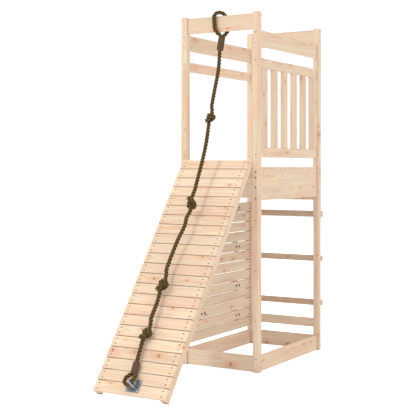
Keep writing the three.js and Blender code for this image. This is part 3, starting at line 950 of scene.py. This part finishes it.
def tight_knot(rounds=600, inner_rounds=14, spacing=0.7, reach=13.4):
    """The centreline of an overhand knot, for a rope of radius 1 along Z. A loose knot is pulled by its
    ends while its links keep their length and its turns keep each other at arm's length."""
    t = np.linspace(-2.15, 2.15, 400)
    path = 1.5 * np.stack([t ** 3 - 3 * t, t ** 4 - 4 * t ** 2, t ** 5 / 5 - 2 * t], axis=1)
    path[:, 1] -= path[0, 1]
    path = even_steps(path, spacing)
    link = np.linalg.norm(np.diff(path, axis=0), axis=1).mean()
    first, second = np.triu_indices(len(path), int(math.ceil(2.8 / link)))
    start = path[-1, 2]
    quarter = len(path) // 4
    for turn in range(rounds):
        half = start + (reach - start) * min(1, turn / (rounds * 0.4))
        path[3:-3, 1] -= 0.01 * path[quarter:-quarter, 1].mean()
        path[0] = [path[0, 0] * 0.9, 0, -half]
        path[-1] = [path[-1, 0] * 0.9, 0, half]
        path[2:-2] += 0.06 * (path[1:-3] + path[3:-1] - 2 * path[2:-2])
        for _ in range(inner_rounds):
            for odd in (0, 1):
                count = (len(path) - odd) // 2
                near = slice(odd, odd + 2 * count, 2)
                far = slice(odd + 1, odd + 1 + 2 * count, 2)
                step = path[far] - path[near]
                size = np.linalg.norm(step, axis=1, keepdims=True)
                move = step * (1 - link / size) * 0.5
                path[near] += move
                path[far] -= move
            step = path[second] - path[first]
            size = np.linalg.norm(step, axis=1)
            close = np.flatnonzero(size < 2.0)
            push = step[close] / size[close][:, None] * ((2.0 - size[close]) * 0.3)[:, None]
            np.add.at(path, first[close], -push)
            np.add.at(path, second[close], push)
    return path


def moving_frames(path):
    """Tangent and two side directions that turn as little as possible along the path."""
    tangents = np.gradient(path, axis=0)
    tangents /= np.linalg.norm(tangents, axis=1, keepdims=True)
    side = np.cross(tangents[0], [0.3, 1.0, 0.2])
    sides = []
    for tangent in tangents:
        side = side - tangent * np.dot(side, tangent)
        side = side / np.linalg.norm(side)
        sides.append(side)
    sides = np.array(sides)
    return tangents, sides, np.cross(tangents, sides)


STRAND_SIDES = 20
SQUEEZED = 0.024           # length of each rope end that its sleeve makes thinner
THINNER = 0.24             # by this share of its radius
YARNS = 5                  # in a strand
YARN_TURNS = 55.0          # how often they turn in a metre


def strand_rings(path, radius, strand):
    """Rings of one of three strands that wind round the path. The sleeves squeeze the rope's ends."""
    _, side, across = moving_frames(path)
    along = lengths_along(path)
    from_end = np.minimum(along, along[-1] - along)
    radius = radius * (1 - THINNER * eased((SQUEEZED - from_end) / 0.010))
    thick = radius / 2.18
    wind = 2 * math.pi * (along / LAY + strand / 3)
    off_centre = np.cos(wind)[:, None] * side + np.sin(wind)[:, None] * across
    centre = path + (radius - thick)[:, None] * off_centre
    rings = []
    for k in range(STRAND_SIDES):
        turn = 2 * math.pi * k / STRAND_SIDES
        yarn = 1 + 0.06 * np.cos(YARNS * turn + 2 * math.pi * along * YARN_TURNS)
        spin = turn + wind
        offset = np.cos(spin)[:, None] * side + np.sin(spin)[:, None] * across
        rings.append(centre + (thick * yarn)[:, None] * offset)
    return np.stack(rings, axis=1), along


def laid_rope(name, path, radius, start=0, stop=None):
    """Three twisted strands along part of a path, as one mesh with UV round and along each strand."""
    bm = bmesh.new()
    uv = bm.loops.layers.uv.new("strand")
    for strand in range(3):
        rings, along = strand_rings(path, radius, strand)
        rings, along = rings[start:stop], along[start:stop]
        verts = [[bm.verts.new(point) for point in ring] for ring in rings]
        for index, face in enumerate(join_rings(bm, verts, smooth=True)):
            row, k = divmod(index, STRAND_SIDES)
            corners = ((k, row), (k + 1, row), (k + 1, row + 1), (k, row + 1))
            for loop, (turn, step) in zip(face.loops, corners):
                loop[uv].uv = (turn / STRAND_SIDES, along[step])
    return finish_mesh(name, bm)


ROPE_TOP = tower_point(261, 13, 1870)
SLEEVE_TOP = tower_point(271, 20, 1949)
ROPE_END = over_ramp(182, 23, -2)
EYE_TOP = over_ramp(128, 17, 1)
AWAY = np.array([-0.513, 0.858, 0.0])    # the knots' turns are counted from this direction
KNOTS = [                # middle, width, height, and turn in degrees
    (tower_point(262, -106, 1468), 0.94, 1.05, 60),
    (over_ramp(982, 84, 16), 1.02, 1.24, 130),
    (over_ramp(553, 55, -3), 1.08, 1.14, 60),
    (over_ramp(320, 50, 1), 1.02, 1.24, 50),
]


def unit(vector):
    vector = np.array(vector, float)
    return vector / np.linalg.norm(vector)


def toward(a, b, distance):
    step = np.array(b) - np.array(a)
    return np.array(a) + step / np.linalg.norm(step) * distance


def rope_guides():
    """The rope's way down, without its knots."""
    return [
        toward(ROPE_TOP, SLEEVE_TOP, SLEEVE_REACH + 0.004),
        ROPE_TOP,
        tower_point(262, -4, 1760),
        tower_point(262, -50, 1630),
        KNOTS[0][0],
        tower_point(262, -144, 1325),
        over_ramp(1206, 115, 2),
        over_ramp(1087, 98, 6),
        KNOTS[1][0],
        over_ramp(940, 81, 4),
        over_ramp(866, 74, 14),
        over_ramp(788, 68, 1),
        over_ramp(656, 58, -9),
        KNOTS[2][0],
        over_ramp(464, 40, -2),
        KNOTS[3][0],
        over_ramp(270, 32, -8),
        ROPE_END,
        toward(ROPE_END, EYE_TOP, SLEEVE_REACH + 0.004),
    ]


def knotted_path():
    """The rope's centreline, with a tight overhand knot tied in at each place."""
    step = 0.002
    gap = 4                    # steps left out on each side of a knot, for a soft join
    base = curve_through(rope_guides(), step)
    knot = tight_knot()
    knot = knot[np.abs(knot[:, 2]) < KNOT_END]
    knot[:, :2] *= 1 - eased((np.abs(knot[:, 2:]) - KNOT_CORE) / (KNOT_END - KNOT_CORE))
    pieces, here = [], 0
    for centre, size, tall, spin in KNOTS:
        middle = int(np.argmin(np.linalg.norm(base - centre, axis=1)))
        half = knot[-1, 2] * SQUEEZE * ROPE_RADIUS * size * tall
        reach = int(round(half / step))
        axis = base[middle + reach] - base[middle - reach]
        stretch = np.linalg.norm(axis) / (2 * half)
        axis = unit(axis)
        deep = unit(AWAY - axis * np.dot(AWAY, axis))
        turn = np.stack([np.cross(deep, axis), deep, axis])
        turn = np.array(Matrix.Rotation(math.radians(spin), 3, "Z")).T @ turn
        local = knot * SQUEEZE * ROPE_RADIUS * size * np.array([1, 1, tall * stretch])
        between = (base[middle + reach] + base[middle - reach]) / 2
        pieces.append(base[here:middle - reach - gap])
        pieces.append(between + local @ turn)
        here = middle + reach + gap + 1
    pieces.append(base[here:])
    path = even_steps(np.vstack(pieces), ROPE_STEP)
    for _ in range(3):
        path[1:-1] = 0.25 * (path[:-2] + path[2:]) + 0.5 * path[1:-1]
    return even_steps(path, ROPE_STEP)


def build_rope():
    path = knotted_path()
    along = lengths_along(path)
    first = int(np.searchsorted(along, TAIL))
    last = int(np.searchsorted(along, along[-1] - TAIL))
    top = rope_part("rope_top_tail", path, 0, first + 1)
    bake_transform(top)
    rope_part("rope_knotted", path, first, last + 1, ["climbing_rope"], "rope")
    foot = rope_part("rope_foot_tail", path, last, None)
    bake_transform(foot)


def rope_part(name, path, start, stop, replaces=(), body=None):
    return add_piece(name, laid_rope(name, path, ROPE_RADIUS, start, stop), HEMP, replaces, body)


build_rope()

LOOP_RADIUS = 0.0118
STRAND_GAP = 9.8           # mm from the sleeve's middle to each rope that leaves it
SLEEVE_WIDE = 0.0200       # half its width and half its depth
SLEEVE_DEEP = 0.0136


def build_beam_loop():
    axis = unit(SLEEVE_TOP - ROPE_TOP)
    across = unit([0.87, 0.49, 0])
    across = unit(across - axis * np.dot(across, axis))

    def foot(side, rise):
        return SLEEVE_TOP + across * side * MM + axis * rise * MM

    guides = [foot(-7, -20), foot(-STRAND_GAP, 1.5), foot(-STRAND_GAP - 0.5, 9), tower_point(247, 0, 1977),
              tower_point(236, -3, 1998), tower_point(231, -2, 2040), tower_point(232, -3, 2075),
              tower_point(246, 11, 2093), tower_point(266, 30, 2093), tower_point(284, 43, 2074),
              tower_point(300, 42, 2030), tower_point(301, 40, 1992), tower_point(291, 33, 1969),
              foot(STRAND_GAP + 0.5, 9), foot(STRAND_GAP, 1.5), foot(7, -20)]
    mesh = laid_rope("beam_loop_rope", curve_through(guides, ROPE_STEP), LOOP_RADIUS)
    add_piece("beam_loop_rope", mesh, HEMP, ["beam_loop"])
    build_sleeve("sleeve_top_wrap", toward(ROPE_TOP, SLEEVE_TOP, 0.001), SLEEVE_TOP, across,
                 "rope_sleeve_top")


def on_ramp(across, up, out):
    """A point in the ramp's frame, in mm."""
    return np.array(RAMP @ (Vector((across, up, out)) * MM))


def build_lower_eye():
    sleeve_axis = unit(EYE_TOP - ROPE_END)

    def foot(side, rise):
        return EYE_TOP + np.array([side * MM, 0, 0]) + sleeve_axis * rise * MM

    ring = [(286, 93, 75), (288, 70, 84), (283, 50, 88), (269, 42, 88), (253, 43, 86), (242, 53, 84),
            (237, 69, 82), (241, 86, 78), (249, 99, 72)]
    guides = [foot(7, -20), foot(STRAND_GAP, -1), *[on_ramp(*point) for point in ring],
              foot(-STRAND_GAP, -1), foot(-7, -20)]
    mesh = laid_rope("lower_eye_rope", curve_through(guides, ROPE_STEP), LOOP_RADIUS)
    add_piece("lower_eye_rope", mesh, HEMP, ["rope_eye_bottom"])
    build_sleeve("sleeve_bottom_wrap", toward(ROPE_END, EYE_TOP, 0.001), EYE_TOP, np.array([1.0, 0, 0]),
                 "rope_sleeve_bottom")


def build_sleeve(name, start, end, across, node):
    """A shrink sleeve over two ropes side by side, pinched in at both ends."""
    axis = unit(end - start)
    wide = unit(across - axis * np.dot(across, axis))
    deep = np.cross(axis, wide)
    length = np.linalg.norm(end - start)
    rows, sides = 40, 48
    lay = 0.0205               # between the ridges that the rope under it raises
    bm = bmesh.new()
    rings = []
    for row in range(rows + 1):
        share = row / rows
        from_end = min(share, 1 - share) * length
        pinch = 1 - 0.07 * math.exp(-from_end / 0.0035)
        ring = []
        for k in range(sides):
            turn = 2 * math.pi * k / sides
            waist = 1 - 0.07 * math.exp(-(math.cos(turn) / 0.35) ** 2)
            ridge = 1 + 0.012 * math.sin(2 * math.pi * share * length / lay + 2 * turn)
            x = SLEEVE_WIDE * math.cos(turn) * pinch * ridge
            y = SLEEVE_DEEP * math.sin(turn) * waist * pinch * ridge
            ring.append(bm.verts.new(start + axis * share * length + wide * x + deep * y))
        rings.append(ring)
    join_rings(bm, rings)
    add_piece(name, finish_mesh(name, bm, 50), TAPE, [node])


build_beam_loop()
build_lower_eye()

# ---- Anchor ----

PLATE_CENTRE = Vector((0.278, 0.052, RAMP_FACE + FIT))    # in the ramp's frame
PLATE_HALF = Vector((0.040, 0.034, 0))
PLATE_THICK = 0.003
BAIL_RADIUS = 0.004


def plate_mesh():
    """A thin plate, pressed in a little along its middle."""
    bm = bmesh.new()
    columns, rows = 24, 20
    grid = {}
    for i in range(columns + 1):
        for j in range(rows + 1):
            u, w = i / columns * 2 - 1, j / rows * 2 - 1
            dish = 0.0012 * math.exp(-((u / 0.55) ** 4))
            for level, height in (("low", 0.0), ("top", PLATE_THICK - dish)):
                place = Vector((u * PLATE_HALF.x, w * PLATE_HALF.y, height))
                grid[i, j, level] = bm.verts.new(PLATE_CENTRE + place)
    for i in range(columns):
        for j in range(rows):
            for level in ("low", "top"):
                quad = [grid[i, j, level], grid[i + 1, j, level], grid[i + 1, j + 1, level],
                        grid[i, j + 1, level]]
                bm.faces.new(quad if level == "top" else quad[::-1])
    ring = [(i, 0) for i in range(columns)] + [(columns, j) for j in range(rows)]
    ring += [(i, rows) for i in range(columns, 0, -1)] + [(0, j) for j in range(rows, 0, -1)]
    for here, after in zip(ring, ring[1:] + ring[:1]):
        bm.faces.new((grid[(*here, "low")], grid[(*after, "low")], grid[(*after, "top")],
                      grid[(*here, "top")]))
    sharp = [edge for edge in bm.edges if edge.calc_face_angle(0) > math.radians(60)]
    bmesh.ops.bevel(bm, geom=sharp, offset=0.0006, segments=2, affect="EDGES")
    bm.transform(RAMP)
    return finish_mesh("anchor_plate_steel", bm, 35)


def build_anchor():
    add_piece("anchor_plate_steel", plate_mesh(), PLATE_ZINC, ["anchor_plate"])
    inset = 0.008
    corner = PLATE_HALF - Vector((inset, inset, 0))
    spots = [(RAMP @ (PLATE_CENTRE + Vector((sx * corner.x, sy * corner.y, PLATE_THICK))), OUT_OF_RAMP)
             for sx in (-1, 1) for sy in (-1, 1)]
    add_heads("anchor_screws", DOME_HEAD, spots, BRIGHT_ZINC)


def build_bail():
    """A round rod bent into a tall eye; the rope's eye runs through it."""
    plate = (RAMP_FACE + FIT + PLATE_THICK) / MM
    lift, half = 60, 15        # mm
    top = []
    for turn in np.linspace(-math.pi / 2, math.pi / 2, 7):
        side, rise = half * math.sin(turn), half * math.cos(turn)
        top.append((284 - 0.8 * side, 47 + 0.6 * side, plate + lift - 12 + rise))
    feet = [[(*leg[:2], plate + rise) for rise in (-1, 8)] for leg in (top[0], top[-1])]
    guides = [*feet[0], *top, *feet[1][::-1]]
    path = curve_through([on_ramp(*guide) for guide in guides], 0.0015)
    _, side, across = moving_frames(path)
    along = lengths_along(path)
    turns = np.linspace(0, 2 * math.pi, 16, endpoint=False)
    bm = bmesh.new()
    rings = []
    for point, a, b, mark in zip(path, side, across, along):
        from_foot = min(mark, along[-1] - mark)
        radius = BAIL_RADIUS + 0.0022 * math.exp(-from_foot / 0.0022)
        rings.append([bm.verts.new(point + radius * (math.cos(t) * a + math.sin(t) * b)) for t in turns])
    join_rings(bm, rings, smooth=True)
    add_piece("anchor_bail_rod", finish_mesh("anchor_bail_rod", bm), BRIGHT_ZINC, ["anchor_bail"])


build_anchor()
build_bail()

# ---- Floor, light and camera ----


def build_floor():
    bpy.ops.mesh.primitive_plane_add(size=30, location=(0, 0, -0.0005))
    floor = bpy.context.object
    floor.name = "studio_floor"
    material, tree, shader = new_material("floor", (0.93, 0.93, 0.93), 0.9)
    shader.inputs["Specular IOR Level"].default_value = 0.0
    shader.inputs["Emission Color"].default_value = (1, 1, 1, 1)
    seen = make(tree, "ShaderNodeLightPath").outputs["Is Camera Ray"]
    tree.links.new(times(tree, seen, 0.75), shader.inputs["Emission Strength"])
    floor.data.materials.append(material)


def add_sun(name, toward_light, energy, spread, color=(1, 1, 1)):
    sun = bpy.data.lights.new(name, "SUN")
    sun.energy = energy
    sun.angle = math.radians(spread)
    sun.color = color
    light = bpy.data.objects.new(name, sun)
    light.rotation_euler = Vector(toward_light).to_track_quat("Z", "Y").to_euler()
    bpy.context.scene.collection.objects.link(light)


def build_light():
    world = bpy.data.worlds.new("studio")
    bpy.context.scene.world = world
    world.use_nodes = True
    tree = world.node_tree
    background = tree.nodes["Background"]
    seen = make(tree, "ShaderNodeLightPath").outputs["Is Camera Ray"]
    background.inputs["Color"].default_value = (1, 1, 1, 1)
    strength = plus(tree, times(tree, seen, 0.20), 0.87)
    tree.links.new(strength, background.inputs["Strength"])
    add_sun("key", (-0.22, -0.60, 0.77), 0.58, 4.5, (1.0, 0.98, 0.95))
    add_sun("fill", (0.90, -0.30, 0.30), 0.14, 60)


def build_camera():
    data = bpy.data.cameras.new("camera")
    data.lens = 84.72
    data.sensor_width = 36
    data.shift_y = -0.0987
    camera = bpy.data.objects.new("camera", data)
    camera.location = Vector((CORNER.x + 3.1557, CORNER.y - 4.9705, 1.1852))
    camera.rotation_euler = (math.radians(90), 0, math.radians(30.845))
    bpy.context.scene.collection.objects.link(camera)
    bpy.context.scene.camera = camera


build_floor()
build_light()
build_camera()
bpy.context.scene.view_settings.view_transform = "Standard"
